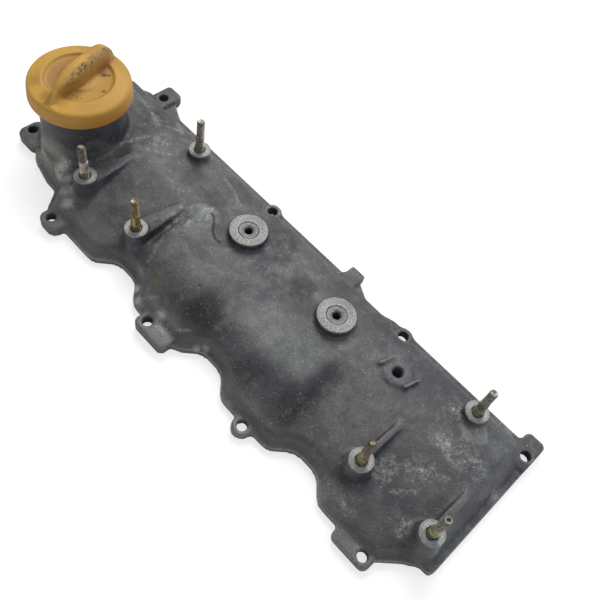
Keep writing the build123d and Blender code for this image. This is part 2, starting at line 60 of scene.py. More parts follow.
# The casting's skin is rebuilt at an even grain and smoothed, but for what has to stay crisp. Each
# pair of millimetres is where the smoothing sets in or dies out.
SKIN_GRAIN = 1.15
FLANGE_Z = (7.5, 11.0)
FAR_RIM_Y = (46.0, 51.0)
NECK_EDGE = (33.0, 39.0)  # from the neck's axis
CRISP_ROUND = [(FILLER_STUDS + PLAIN_STUDS, 8.6), (ROUND_SEATS, 14.6), ([ROOF_PAD], 14.5)]
CRISP_FADE = 3.0  # outside those radii
CRISP_Z = 22  # only above this height
RIB_SIDE, RIB_END = (5.0, 10.0), (24.0, 30.0)  # from the middle of a rib behind a near stud
RIB_FROM_STUD = 24.0
RIB_CRISP = 0.85
SEAT_BAND = 1.2  # either side of the seats' height
ROOF_STEPS, SKIN_STEPS = 34, 3
KEPT_FACES = 0.64  # share of all the faces that is left once the inside is thinned

# Stains and painted shade of the casting, each (centre, reach, colour, strength), in millimetres as
# everywhere here.
BROAD_STAINS_AND_SHADOW = [
    ((36, -22, 26), 26, "#555859", 0.6), ((62, -16, 25), 22, "#4b5051", 0.7),
    ((82, 2, 24), 10, "#555451", 0.4), ((-102, -4, 24), 28, "#525355", 0.6),
    ((-60, -16, 22), 12, "#454547", 0.4), ((112, -14, 24), 28, "#5a5a5b", 0.65),
    ((160, -8, 23), 26, "#535354", 0.5), ((-41, -45, 15), 11, "#57533f", 0.75),
    ((10, 0, 25), 20, "#38393f", 0.75), ((2, -40, 18), 20, "#1f1e22", 0.85),
    ((47, -46, 15), 15, "#262528", 0.75), ((-112, 34, 22), 9, "#3a3a3d", 0.4),
    ((-95, -36, 20), 13, "#2c2b2e", 0.6), ((-114, -18, 23), 10, "#2c2c2e", 0.5),
    ((-8, 36, 23), 22, "#26272c", 0.85), ((148, -60, 8), 20, "#5d5d5d", 0.65),
    ((102, -46, 14), 12, "#2a2a2d", 0.7), ((172, -52, 14), 12, "#2d2d2f", 0.6),
    # The dark patch at (-148, 30) is painted shadow of the filler cap.
    ((150, -22, 24), 11, "#343435", 0.5), ((-148, 30, 23), 30, "#262629", 0.9),
    ((-112, 30, 24), 15, "#37373a", 0.5), ((-62, 16, 24), 17, "#2c2c30", 0.85),
    ((-59, 0, 24), 10, "#36363a", 0.5), ((-72, -28, 22), 13, "#1f1e22", 0.8),
    ((-51, -18, 21), 11, "#2d2d30", 0.6), ((-20, -30, 22), 18, "#4e4e51", 0.6),
    ((-140, -13, 24), 10, "#5a5a59", 0.6), ((-20, 7, 24), 8, "#4c4d4e", 0.5),
    ((194, 4, 12), 12, "#3a3a3c", 0.5), ((84, -3, 24), 8, "#414143", 0.4),
    ((21, -36, 20), 10, "#2a2a2d", 0.5), ((112, 22, 25), 11, "#56585a", 0.6),
]
RAGGED_STAINS = [
    ((-57, 5, 25), 12, "#585f5e", 0.75), ((-50, -3, 25), 7, "#464b4a", 0.5),
    ((-150, 31, 24), 13, "#212124", 0.7), ((-4, 29, 24), 11, "#202127", 0.7),
    ((-143, -20, 25), 14, "#6b6a67", 0.65), ((171, 30, 25), 9, "#707070", 0.55),
    ((30, 18, 25), 10, "#1c1e26", 0.85), ((-2, 23, 24), 12, "#25272f", 0.75),
    ((-4, 10, 24), 8, "#2c2e36", 0.7), ((14, 9, 25), 8, "#2f3138", 0.6),
    ((-67, -22, 21), 3.2, "#0e0e0f", 0.9), ((-15, -32, 24), 1.6, "#101011", 0.9),
    ((-80, 42, 14), 7, "#6a6b6a", 0.5), ((199.2, 9.9, 15), 6.5, "#58585a", 0.7),
    ((-128, 30, 22), 9, "#4c4c4d", 0.5), ((-161, -30, 16), 9, "#615f5b", 0.6),
    ((168, 31, 23), 10, "#6c6d6c", 0.6), ((152, -33, 24), 7, "#5a5a5b", 0.5),
    ((-132, 43, 16), 7, "#5f605f", 0.6), ((168, -68, 7), 9, "#6e6e6c", 0.5),
]
OXIDE_CRUSTS_AND_SHADE = [
    ((-165, -41, 16), 22.0, "#88857b", 0.9), ((-134, -52, 12), 15.0, "#716f69", 0.85),
    ((-160, -50, 5), 14.0, "#6f6e68", 0.7), ((-98, 33, 21), 12.0, "#626264", 0.6),
    ((-155, -41, 17), 8.0, "#cac9c2", 0.95), ((-151, -46, 14), 6.0, "#bdbcb5", 0.9),
    ((-144, -44, 16), 6.0, "#b4b3ac", 0.85), ((-137, -50, 14), 7.0, "#aeada6", 0.85),
    ((-128, -55, 13), 6.5, "#a5a49d", 0.8), ((-48, -59, 6), 5.0, "#a9aaa6", 0.9),
    ((-39, -63, 6), 4.5, "#a9aaa6", 0.9), ((-19, -61, 11), 5.0, "#9b9c98", 0.8),
    ((12, -57, 6), 4.0, "#a9aaa6", 0.9), ((16, -53, 7), 4.0, "#9b9c98", 0.85),
    ((40, 22, 25), 7.0, "#5f6265", 0.5), ((-13, -66, 8), 5.0, "#8d8e8c", 0.25),
    # The dark patches from (160, -52) to (178, -50), at the near feet of the studs and walls, are
    # painted shade.
    ((160, -52, 13), 13.0, "#303032", 0.55), ((135, -48, 15), 10.0, "#1f1f22", 0.65),
    ((190, -49, 12), 9.0, "#232326", 0.6), ((-74, -50, 14), 9.0, "#222225", 0.55),
    ((-126, -47, 19), 6.0, "#2a2a2d", 0.55), ((178, -50, 12), 12.0, "#2e2e30", 0.55),
    ((-181, -42, 12), 15.0, "#99958a", 0.9), ((-53, -51, 12), 8.0, "#7a7971", 0.8),
    ((-36, -63, 5), 6.0, "#80817e", 0.6), ((54, -66, 5), 5.0, "#7d7e7c", 0.5),
    ((205, 18, 7), 5.0, "#8d8e8c", 0.5),
]

# Lines of the casting in plan, each (start, end, width): valleys of painted shade and pale runs,
# and the corners of its one short crack.
SHADED_VALLEYS = [
    ((87, -62), (85.5, -36), 18), ((85.5, -38), (85, -10), 12), ((1, -56), (-2, -34), 14),
    ((-66, -38), (-68, -16), 6),
]
PALE_LINES = [
    ((-52, -45), (-60, -26), 2.0), ((-60, -26), (-61, -8), 1.6), ((-146, -22), (-141, 0), 2.4),
    ((-141, 0), (-136, 20), 2.2), ((-153, -45), (-144, -47), 2.2), ((-144, -47), (-131, -50), 1.8),
    ((-23, -62), (-8, -67), 1.8), ((-36, -62), (-30, -55), 1.6), ((-136, 38), (-128, 45), 2.6),
    ((-126, 12), (-112, 22), 2.0), ((-4, -60), (2, -55), 1.4), ((128, -44), (131, -28), 2.0),
    ((160, -34), (170, -24), 2.4), ((145, -36), (155, -30), 2.4), ((176, 8), (184, 18), 2.4),
    ((-181, 42), (-166, 40), 1.8), ((-166, 40), (-152, 37), 2.0), ((-152, 37), (-141, 33), 3.0),
    ((-74, 40), (-61, 37), 2.0), ((-61, 37), (-48, 31), 2.2), ((-138, 49), (-126, 43), 2.2),
    ((159, 10), (171, 4), 2.6), ((-71, -3), (-65, 8), 1.6), ((-65, 8), (-55, 14.5), 1.8),
    ((163, -13), (178, -5), 2.6),
]
CRACK = [
    (-54.6, 11.0), (-50.7, 9.8), (-45.4, 4.7), (-42.4, 1.7), (-37.3, -1.0), (-32.4, -0.8),
]

# Where white chalk gathers: (centre, reach).
CHALK_FIELDS = [
    ((155, 32, 23), 12), ((175, 14, 23), 15), ((170, 34, 22), 9), ((146, -57, 10), 12),
    ((128, -62, 8), 14), ((152, -31, 24), 11), ((-146, -46, 10), 14), ((-57, 8, 25), 8),
    ((205, 18, 8), 8), ((-12, -66, 8), 9), ((182, 58, 8), 12), ((-126, 24, 23), 12),
    ((-62, -12, 22), 13), ((160, 10, 25), 10), ((177, 13, 25), 11), ((190, 14, 24), 10),
    ((180, -43, 16), 10), ((163, -13, 22), 13), ((148, -25, 20), 11),
]


def linear(code):
    """A hex sRGB colour as linear RGBA."""
    parts = [int(code[i : i + 2], 16) / 255 for i in (1, 3, 5)]
    light = [p / 12.92 if p <= 0.04045 else ((p + 0.055) / 1.055) ** 2.4 for p in parts]
    return (*light, 1.0)


def add_node(tree, kind, settings=None, inputs=None):
    """A new shader node. settings are its attributes, inputs are values or sockets to link."""
    node = tree.nodes.new("ShaderNode" + kind)
    for key, value in (settings or {}).items():
        setattr(node, key, value)
    for key, value in (inputs or {}).items():
        if isinstance(value, bpy.types.NodeSocket):
            tree.links.new(value, node.inputs[key])
        else:
            node.inputs[key].default_value = value
    return node


def new_material(name):
    """A material with its tree, its shader and object coordinates in millimetres."""
    material = bpy.data.materials.new(name)
    material.use_nodes = True
    tree = material.node_tree
    coords = add_node(tree, "TexCoord").outputs["Object"]
    scaled = add_node(tree, "VectorMath", {"operation": "SCALE"}, {0: coords, "Scale": 1 / MM})
    return material, tree, tree.nodes["Principled BSDF"], scaled.outputs[0]


def mottling(tree, at, size, detail, rough, stretch=(1, 1, 1), offset=0.0):
    """Noise from 0 to 1 whose blotches are about size millimetres across."""
    inputs = {"Vector": at, "Scale": stretch, "Location": (offset, offset, offset)}
    moved = add_node(tree, "Mapping", {}, inputs).outputs[0]
    inputs = {"Vector": moved, "Scale": 1 / size, "Detail": detail, "Roughness": rough}
    return add_node(tree, "TexNoise", {}, inputs).outputs[0]


def level(tree, *limits):
    """The product of what is given: sockets, numbers and limits. A limit (source, low, high, a, b)
    goes smoothly from a to b, or without these from 0 to 1, while source goes from low to high."""
    result = None
    for limit in limits:
        if isinstance(limit, tuple):
            source, low, high, a, b = (*limit, 0.0, 1.0)[:5]
            inputs = {"Value": source, "From Min": low, "From Max": high, "To Min": a, "To Max": b}
            settings = {"interpolation_type": "SMOOTHSTEP"}
            limit = add_node(tree, "MapRange", settings, inputs).outputs[0]
        if result is not None:
            inputs = {0: result, 1: limit}
            limit = add_node(tree, "Math", {"operation": "MULTIPLY"}, inputs).outputs[0]
        result = limit
    return result


def painted(tree, base, coats, blend="MIX"):
    """base under coats of colour, each (hex colour, and then what its level is made of)."""
    for code, *limits in coats:
        settings = {"data_type": "RGBA", "blend_type": blend}
        inputs = {0: level(tree, *limits), 6: base, 7: linear(code)}
        base = add_node(tree, "Mix", settings, inputs).outputs[2]
    return base


def near_spot(tree, at, centre, reach, wobble, soft):
    """1 within soft * reach of centre and 0 beyond reach, its edge broken up by wobble."""
    sway = 1.2 * reach  # how far the edge moves over the whole run of wobble
    inputs = {0: at, 1: centre}
    distance = add_node(tree, "VectorMath", {"operation": "DISTANCE"}, inputs).outputs["Value"]
    shift = add_node(tree, "Math", {"operation": "SUBTRACT"}, {0: wobble, 1: 0.5}).outputs[0]
    inputs = {0: shift, 1: sway, 2: distance}
    distance = add_node(tree, "Math", {"operation": "MULTIPLY_ADD"}, inputs).outputs[0]
    return level(tree, (distance, reach, soft * reach))


def with_stains_and_shade(tree, at, base, wobble, patches, soft=0.45):
    """base with patches of stain and of painted shade laid on it, each (centre, reach, hex colour,
    strength). The nearer soft is to 1, the harder are their edges."""
    for centre, reach, code, strength in patches:
        spot = near_spot(tree, at, centre, reach, wobble, soft)
        base = painted(tree, base, [(code, spot, strength)])
    return base


def specks(tree, at, spacing, radius, share):
    """Small dots of the given radius, about one to each spacing, share of them shown."""
    inputs = {"Vector": at, "Scale": 1 / spacing, "Randomness": 1.0}
    cells = add_node(tree, "TexVoronoi", {}, inputs)
    chance = add_node(tree, "SeparateColor", {}, {0: cells.outputs["Color"]}).outputs[0]
    shown = add_node(tree, "Math", {"operation": "LESS_THAN"}, {0: chance, 1: share}).outputs[0]
    return level(tree, (cells.outputs["Distance"], radius / spacing, 0.6 * radius / spacing), shown)


def along_line(tree, at, start, end, width):
    """1 on the segment from start to end, in plan, falling to 0 at width."""
    run = Vector(end) - Vector(start)
    flat = add_node(tree, "VectorMath", {"operation": "MULTIPLY"}, {0: at, 1: (1, 1, 0)})
    inputs = {0: flat.outputs[0], 1: (*start, 0)}
    rel = add_node(tree, "VectorMath", {"operation": "SUBTRACT"}, inputs).outputs[0]
    unit = (run.x / run.length_squared, run.y / run.length_squared, 0)
    share = add_node(tree, "VectorMath", {"operation": "DOT_PRODUCT"}, {0: rel, 1: unit})
    share = add_node(tree, "Clamp", {}, {0: share.outputs["Value"]}).outputs[0]
    inputs = {0: (run.x, run.y, 0), "Scale": share}
    foot = add_node(tree, "VectorMath", {"operation": "SCALE"}, inputs).outputs[0]
    gap = add_node(tree, "VectorMath", {"operation": "DISTANCE"}, {0: rel, 1: foot})
    return level(tree, (gap.outputs["Value"], width, 0.3 * width))


def most(tree, values):
    """The largest of several masks."""
    result = values[0]
    for value in values[1:]:
        result = add_node(tree, "Math", {"operation": "MAXIMUM"}, {0: result, 1: value}).outputs[0]
    return result


def surface(tree, shader, colour, metallic, roughness, heights):
    """Colour, metallic, roughness (a limit) and chained bumps (height, millimetres) of a shader."""
    tree.links.new(colour, shader.inputs["Base Color"])
    shader.inputs["Metallic"].default_value = metallic
    tree.links.new(level(tree, roughness), shader.inputs["Roughness"])
    below = {}
    for height, depth in heights:
        inputs = {"Strength": 1.0, "Distance": depth * MM, "Height": height, **below}
        below = {"Normal": add_node(tree, "Bump", {}, inputs).outputs[0]}
    tree.links.new(below["Normal"], shader.inputs["Normal"])


def cast_alloy():
    """Blasted die-cast alloy: a matt dark grey skin, blotchy all over, with painted shade in its
    valleys and pale with oxide at its edges. The real grain is near 0.3 mm and is drawn coarser so
    that it shows."""
    material, tree, shader, at = new_material("weathered die-cast aluminium")
    cloud = mottling(tree, at, 30, 5, 0.6)
    island = mottling(tree, at, 17, 6, 0.62, offset=113)
    blotch = mottling(tree, at, 11, 6, 0.68, offset=31)
    ragged = mottling(tree, at, 8, 6, 0.72, offset=53)
    drift = mottling(tree, at, 6.5, 5, 0.62, offset=91)
    vein = mottling(tree, at, 3.4, 6, 0.8, offset=71)
    broken = mottling(tree, at, 1.6, 4, 0.7, offset=17)
    grain = mottling(tree, at, 1.3, 3, 0.65)
    fine = mottling(tree, at, 0.55, 2, 0.5)
    place = add_node(tree, "SeparateXYZ", {}, {0: at})
    back, high = place.outputs[1], place.outputs[2]
    shape = add_node(tree, "NewGeometry")
    edges = shape.outputs["Pointiness"]
    upward = add_node(tree, "SeparateXYZ", {}, {0: shape.outputs["Normal"]}).outputs[2]

    # Mottled greys under the large stains and a patch of painted shadow.
    greys = [
        ("#47494b", (cloud, 0.38, 0.62)),
        ("#505052", (blotch, 0.52, 0.64, 0, 0.4)),
        ("#29272c", (blotch, 0.46, 0.36, 0, 0.45)),
    ]
    colour = painted(tree, linear("#333438"), greys)
    colour = with_stains_and_shade(tree, at, colour, cloud, BROAD_STAINS_AND_SHADOW)
    colour = with_stains_and_shade(tree, at, colour, ragged, RAGGED_STAINS, 0.82)

    # Finer drifts, painted shade in the valleys, tide marks, a paler foot low on the near side, and
    # oxide crusts with patches of painted shade.
    valley_shade = most(tree, [along_line(tree, at, *line) for line in SHADED_VALLEYS])
    drifts = [
        ("#636360", (drift, 0.53, 0.64, 0, 0.3)),
        ("#33333b", (drift, 0.47, 0.37, 0, 0.45)),
        ("#2a2b31", (island, 0.555, 0.568, 0, 0.26)),
        # painted shade along the valleys
        ("#18171b", valley_shade, 0.7),
        ("#626463", (ragged, 0.535, 0.555), (ragged, 0.6, 0.57), (cloud, 0.45, 0.6, 0.05, 0.4)),
        ("#5f5f60", (high, 19.0, 8.0), (back, -38.0, -48.0), (blotch, 0.3, 0.6, 0.5, 0.85)),
    ]
    colour = painted(tree, colour, drifts)
    colour = with_stains_and_shade(tree, at, colour, broken, OXIDE_CRUSTS_AND_SHADE, 0.1)

    # Pale runs, the crack, the flange's rubbed lip, worn edges and grimy inner corners.
    lines = most(tree, [along_line(tree, at, *line) for line in PALE_LINES])
    crack = most(tree, [along_line(tree, at, a, b, 0.8) for a, b in zip(CRACK, CRACK[1:])])
    flange_top = level(tree, (high, 1.5, 2.6), (high, 5.6, 5.0))
    lip = level(tree, (upward, 0.1, 0.4), (upward, 0.98, 0.85), flange_top)
    wear = [
        ("#858583", lines, (broken, 0.42, 0.6), (high, 28.5, 26.5), 0.55),
        ("#151516", crack, 0.85),
        ("#8c8d8a", lip, (broken, 0.4, 0.6, 0.2, 0.75)),
        ("#7f807f", (edges, 0.515, 0.565), (broken, 0.35, 0.6, 0.3, 1), 0.6),
        ("#161618", (edges, 0.48, 0.43), (blotch, 0.3, 0.6, 0.4, 1), 0.45),
    ]
    colour = painted(tree, colour, wear)

    # White chalk: a few specks all over, many in the fields and along the edges, haze and veins.
    crowded = most(tree, [near_spot(tree, at, *field, ragged, 0.2) for field in CHALK_FIELDS])
    rim = level(tree, (edges, 0.505, 0.54), (broken, 0.5, 0.62), 0.7)
    few = specks(tree, at, 2.4, 0.38, level(tree, (cloud, 0.35, 0.65, 0.12, 0.4)))
    many = specks(tree, at, 0.9, 0.29, level(tree, most(tree, [crowded, rim]), 0.5))
    veins = level(tree, (vein, 0.52, 0.62), (broken, 0.44, 0.6, 0.25, 1))
    chalk = [
        ("#a2a3a1", most(tree, [few, many]), 0.7),
        ("#808180", crowded, (drift, 0.44, 0.6), 0.3),
        ("#a3a4a2", crowded, veins, 0.85),
    ]
    colour = painted(tree, colour, chalk)
    colour = painted(tree, colour, [("#565758", (grain, 0.3, 0.7, 0, 0.4))], "OVERLAY")
    colour = painted(tree, colour, [("#6a6b6b", (fine, 0.56, 0.72, 0, 0.28))])
    dent = level(tree, crack, -1.0)
    heights = [(cloud, 0.6), (grain, 0.2), (fine, 0.12), (dent, 0.6)]
    surface(tree, shader, colour, 0.3, (blotch, 0.3, 0.7, 0.5, 0.66), heights)
    return material


def placed(name, data):
    """A new object of data in the scene."""
    obj = bpy.data.objects.new(name, data)
    scene.collection.objects.link(obj)
    return obj


def clad(mesh, material):
    """Gives the mesh this material and no other."""
    mesh.materials.clear()
    mesh.materials.append(material)


def baked(obj):
    """Replaces the object's mesh by its own result after modifiers."""
    graph = bpy.context.evaluated_depsgraph_get()
    mesh = bpy.data.meshes.new_from_object(obj.evaluated_get(graph))
    obj.modifiers.clear()
    obj.data = mesh
    return obj


def moulded(node, grain):
    """A copy of a CAD node, its skin rebuilt at an even grain so that its edges can be softened."""
    work = bmesh.new()
    work.from_mesh(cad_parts[node].data)
    bmesh.ops.remove_doubles(work, verts=work.verts, dist=MM / 1000)
    mesh = bpy.data.meshes.new(node + "_skin")
    work.to_mesh(mesh)
    work.free()
    obj = placed(node + "_skin", mesh)
    remesh = obj.modifiers.new("skin", "REMESH")
    remesh.mode = "VOXEL"
    remesh.voxel_size = grain * MM
    remesh.use_smooth_shade = True
    return baked(obj)


def places(mesh):
    """The mesh's vertices as an array of millimetres."""
    flat = np.zeros(3 * len(mesh.vertices), np.float32)
    mesh.vertices.foreach_get("co", flat)
    return flat.reshape(-1, 3) / MM


def soften(obj, weights, steps):
    """Smooths the mesh, each vertex as much as its weight says, in tenths."""
    group = obj.vertex_groups.new(name="soft")
    tenths = np.round(weights * 10).astype(int)
    for tenth in range(1, 11):
        members = np.nonzero(tenths == tenth)[0].tolist()
        if members:
            group.add(members, tenth / 10, "REPLACE")
    smooth = obj.modifiers.new("smooth", "SMOOTH")
    smooth.vertex_group = group.name
    smooth.factor = 0.5
    smooth.iterations = steps
    baked(obj)


def step_down(value, low, high):
    """1 below low, 0 above high, smooth between."""
    share = np.clip((high - value) / (high - low), 0, 1)
    return share * share * (3 - 2 * share)


def from_axis(spots, axis):
    """Distance of each spot from an upright axis."""
    return np.hypot(spots[:, 0] - axis[0], spots[:, 1] - axis[1])


def thinned_inside(obj, share):
    """Leaves about share of the faces, thinning them where more of the mesh lies straight above."""
    mesh = obj.data
    skin = BVHTree.FromPolygons([v.co for v in mesh.vertices], [p.vertices for p in mesh.polygons])
    up = Vector((0, 0, 1))
    clear = 0.3  # each ray starts this far off its own vertex
    starts = [v.co + v.normal * clear * MM for v in mesh.vertices]
    inside = [i for i, start in enumerate(starts) if skin.ray_cast(start, up)[0] is not None]
    group = obj.vertex_groups.new(name="inside")
    group.add(inside, 1.0, "REPLACE")
    thin = obj.modifiers.new("thin", "DECIMATE")
    thin.ratio = share
    thin.vertex_group = group.name
    for vertex in baked(obj).data.vertices:  # nothing may reach below the gasket face
        vertex.co.z = max(vertex.co.z, 0.0)


cover = moulded("valve_cover", SKIN_GRAIN * (1))
spots = places(cover.data)
roof = 1 - step_down(spots[:, 2], *FLANGE_Z)
roof *= step_down(spots[:, 1], *FAR_RIM_Y)
roof *= 1 - step_down(from_axis(spots, NECK), *NECK_EDGE)
for axes, radius in CRISP_ROUND:
    for axis in axes:
        crisp = step_down(from_axis(spots, axis), radius, radius + CRISP_FADE)
        roof *= 1 - crisp * (spots[:, 2] > CRISP_Z)
for x, y in FILLER_STUDS[:2] + PLAIN_STUDS[:2]:
    rib = step_down(np.abs(spots[:, 0] - x), *RIB_SIDE)
    rib *= step_down(np.abs(spots[:, 1] - y - RIB_FROM_STUD), *RIB_END)
    roof *= 1 - RIB_CRISP * rib
soften(cover, roof, ROOF_STEPS)
soften(cover, 0.5 * (np.abs(spots[:, 2] - SEAT_Z) > SEAT_BAND), SKIN_STEPS)
thinned_inside(cover, KEPT_FACES)
cover.name = "cover_casting"
clad(cover.data, cast_alloy())
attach(cover, "cover")
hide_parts("valve_cover")

# ---- Machined seats of the casting --------------------------------------------------------------
# Faced on a mill after casting: six rings round the studs and the two large round bosses. The faces
# are bright where the casting skin is gone, with fine turning marks and a small chamfer.

# Profiles as (radius, height over the seats), in millimetres.
STUD_SEAT = [
    (3.8, -3.0), (3.8, -0.3), (4.05, 0.03), (5.8, 0.05), (7.35, 0.05), (7.8, -0.35), (7.85, -1.0),
    (7.6, -1.1), (4.7, -3.0),
]
ROUND_SEAT = [
    (2.75, -12.5), (2.75, -1.4), (3.6, -0.55), (3.75, -0.45), (7.1, -0.45), (7.9, 0.02),
    (8.2, 0.05), (12.9, 0.05), (13.3, -0.35), (13.4, -1.0),
]


def axis_distance(tree, at):
    """Distance of each point from the upright axis through the origin of at."""
    flat = add_node(tree, "VectorMath", {"operation": "MULTIPLY"}, {0: at, 1: (1, 1, 0)})
    inputs = {0: flat.outputs[0]}
    return add_node(tree, "VectorMath", {"operation": "LENGTH"}, inputs).outputs["Value"]


def rings(tree, radius, pitch, shift):
    """Turning marks from -1 to 1, pitch millimetres apart, moved by shift radians."""
    inputs = {0: radius, 1: 2 * math.pi / pitch, 2: shift}
    phase = add_node(tree, "Math", {"operation": "MULTIPLY_ADD"}, inputs).outputs[0]
    return add_node(tree, "Math", {"operation": "SINE"}, {0: phase}).outputs[0]


def machined_alloy(name, dark, pale, spot):
    """Turned aluminium: bright, with rings about its own axis, dulled by white oxide and darker
    inside the radius spot, with a painted highlight round spot where the step faces inwards. Real
    marks are near 0.2 mm apart; they are drawn coarser so that they show."""
    material, tree, shader, at = new_material(name)
    radius = axis_distance(tree, at)
    mottle = mottling(tree, at, 2.2, 5, 0.7)
    bloom = mottling(tree, at, 1.3, 4, 0.7, offset=19)
    fine = mottling(tree, at, 0.4, 2, 0.5)
    marks = rings(tree, radius, 0.45, 0.0)
    grooves = rings(tree, radius, 1.3, level(tree, mottle, 2.5))
    coats = [
        (pale, (mottle, 0.35, 0.65)),
        ("#323334", (radius, spot, 0.3 * spot, 0.15, 0.8)),
        # painted highlight round the edge of the step at spot, where its wall faces inwards
        ("#a9aaa7", (radius, spot - 0.5, spot), (radius, spot + 0.7, spot), 0.45),
        ("#4a4b4c", (grooves, 0.1, 0.9, 0, 0.35)),
        ("#b0b1ae", (fine, 0.56, 0.70, 0, 0.6)),
        ("#3c3d3f", (fine, 0.46, 0.34, 0, 0.7)),
        ("#bcbdba", (bloom, 0.55, 0.63, 0, 0.4)),
    ]
    colour = painted(tree, linear(dark), coats)
    heights = [(marks, 0.035), (mottle, 0.12)]
    surface(tree, shader, colour, 0.4, (mottle, 0.3, 0.7, 0.42, 0.6), heights)
    return material


def smooth_mesh(name, vertices, faces, sharp):
    """A smooth-shaded mesh whose edges stay sharp from that angle on, in degrees."""
    mesh = bpy.data.meshes.new(name)
    mesh.from_pydata(vertices, [], faces)
    mesh.shade_smooth()
    mesh.set_sharp_from_angle(angle=math.radians(sharp))
    return mesh


def turned_mesh(name, profile, steps=72):
    """A surface of revolution about Z from (radius, z) points, facing up where it runs outwards."""
    vertices, faces = [], []
    for radius, z in profile:
        for step in range(steps):
            angle = 2 * math.pi * step / steps
            vertices.append((radius * MM * math.cos(angle), radius * MM * math.sin(angle), z * MM))
    for ring in range(len(profile) - 1):
        for step in range(steps):
            other = (step + 1) % steps
            a, b = ring * steps, (ring + 1) * steps
            faces.append((a + step, b + step, b + other, a + other))
    return smooth_mesh(name, vertices, faces, 35)


seat_metal = machined_alloy("machined aluminium seat", "#6c6d6c", "#8f908e", 7.9)
ring_metal = machined_alloy("oxidised machined ring", "#747573", "#93948f", 5.4)
for label, profile, seats, metal in (
    ("stud_seat", STUD_SEAT, FILLER_STUDS + PLAIN_STUDS, ring_metal),
    ("round_seat", ROUND_SEAT, ROUND_SEATS, seat_metal),
):
    mesh = turned_mesh(label, profile)
    clad(mesh, metal)
    for number, (x, y) in enumerate(seats):
        seat = placed(f"{label}_{number}", mesh)
        seat.matrix_world = Matrix.Translation((x * MM, y * MM, SEAT_Z * MM))
        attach(seat, "cover")

# ---- Studs --------------------------------------------------------------------------------------
# Six double-ended steel studs, yellow zinc plated: a thicker thread screwed into the casting, a
# bare shank and a rolled nut thread. Heat has browned the threads; the shanks are rubbed bright.

# Radii in millimetres, and heights in millimetres over the seats.
NUT_THREAD = (2.75, 2.15, 1.25)  # outer radius, root radius and pitch
CASTING_THREAD = (3.45, 2.85, 1.25)
CASTING_THREAD_END, TAPER_FROM, TAPER = 4.4, 4.6, 0.5
SHANK_FROM, SHANK_TO, SHANK_RADIUS = 5.4, 13.6, 3.0
RUN_IN = 0.9  # of the nut thread over the shank
STUD_FOOT, STUD_TOP, RING_STEP = -2.6, 27.48, 0.125
TIP_RADIUS = 2.12  # at the top of the chamfer
# Rings that close the top of a stud, as (radius, height over the top), by its kind of end.
TIPS = {
    "socket": [(2.0, 0.0), (1.45, -0.1), (1.3, -1.8), (0.02, -2.2)],
    "point": [(1.95, -0.3), (1.7, -0.4), (1.55, 0.0), (0.02, 0.0)],
    "plain": [(1.95, -0.02), (1.2, -0.25), (0.02, -0.3)],
}
HEXAGON_WITHIN = 1.5  # a socket's rings of less than this radius have six sides
STUD_TONES = [  # the casting thread, the shank and the nut thread of each stud
    ("#5c5843", "#aaa49b", "#5d5955"),
    ("#464136", "#8a7544", "#6f6040"),
    ("#625d4b", "#9c9590", "#827a76"),
    ("#6c6650", "#8f7f5c", "#6a6154"),
    ("#615d49", "#8d8862", "#77756a"),
    ("#736d57", "#89866f", "#8b8b84"),
]
TONE_HEIGHTS = (0.0, 37.5, 47.0)  # over the gasket face, where each of those tones begins
TONE_REACH = 6.0  # of a stud's tones along X


def thread_radius(sizes, height, turn, depth):
    """Radius of a thread with flat crests, its grooves cut to depth, a share of the full one."""
    outer, root, pitch = sizes
    crest = abs(2 * ((height / pitch - turn) % 1.0) - 1)
    cut = (outer - root) * min(1.0, max(0.0, 1.5 * crest - 0.22)) * depth
    return root + cut + (outer - root) * (1 - depth)


def stud_radius(height, turn):
    """Radius of a stud at a height over the seat and a share of a turn round it."""
    if height < SHANK_FROM:
        depth = 1.0 if height < CASTING_THREAD_END else 0.0
        taper = max(0, height - TAPER_FROM) * TAPER
        return thread_radius(CASTING_THREAD, height, turn, depth) - taper
    if height < SHANK_TO:
        return SHANK_RADIUS
    depth = min(1.0, (height - SHANK_TO) / RUN_IN)
    return min(thread_radius(NUT_THREAD, height, turn, depth), TIP_RADIUS + STUD_TOP - height)


def stud_mesh(name, ends):
    """The studs of one group in one mesh, from (place, kind of end) pairs."""
    around = 36
    vertices, faces = [], []
    for (x, y), kind in ends:
        base = len(vertices)
        levels = [(z, None) for z in [*np.arange(STUD_FOOT, STUD_TOP, RING_STEP), STUD_TOP]]
        levels += [(STUD_TOP + drop, radius) for radius, drop in TIPS[kind]]
        for height, tip_radius in levels:
            sides = 6 if kind == "socket" and tip_radius and tip_radius < HEXAGON_WITHIN else around
            for step in range(around):
                turn = round(step * sides / around) / sides
                r = (tip_radius or stud_radius(height, turn)) * MM
                angle = 2 * math.pi * turn
                plan = x * MM + r * math.cos(angle), y * MM + r * math.sin(angle)
                vertices.append((*plan, (SEAT_Z + height) * MM))
        for ring in range(len(levels) - 1):
            for step in range(around):
                other = (step + 1) % around
                a, b = base + ring * around, base + (ring + 1) * around
                faces.append((a + step, a + other, b + other, b + step))
    return smooth_mesh(name, vertices, faces, 50)


